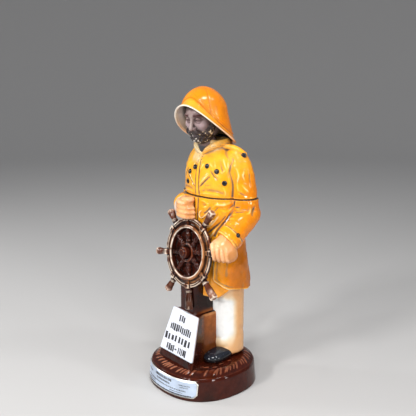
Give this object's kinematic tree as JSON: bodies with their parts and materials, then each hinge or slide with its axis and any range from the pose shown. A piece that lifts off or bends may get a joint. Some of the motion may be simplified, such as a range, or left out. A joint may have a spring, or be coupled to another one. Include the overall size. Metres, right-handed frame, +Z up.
{
  "type": "figural decanter",
  "caption": "Glazed china decanter: a seafarer in a yellow sou'wester and oilskin coat at a ship's wheel, on a brown plinth with a blank plaque; the chest and head lift off the neck.",
  "frame": {"origin": "middle of the flat underside of the plinth, on the table that it stands on", "axes": "+Z up through the figure and its hat, -Y the way the figure, plaque and label face, +X the figure's left hand side"},
  "size_m": [0.1364, 0.1243, 0.3499],
  "materials": {
    "glazed_ceramic": "Hard gloss glaze in amber yellow, dark brown, cream and black on white china; gloss_plastic stands in for glazed ceramic.",
    "label_foil": "Thin printed foil paper, silver with a pale blue cast, slightly worn at its edge."
  },
  "bodies": {
    "root": {"decanter_vessel": "glazed_ceramic", "figure_lid": "glazed_ceramic", "foil_label": "label_foil"}
  },
  "joints": []
}
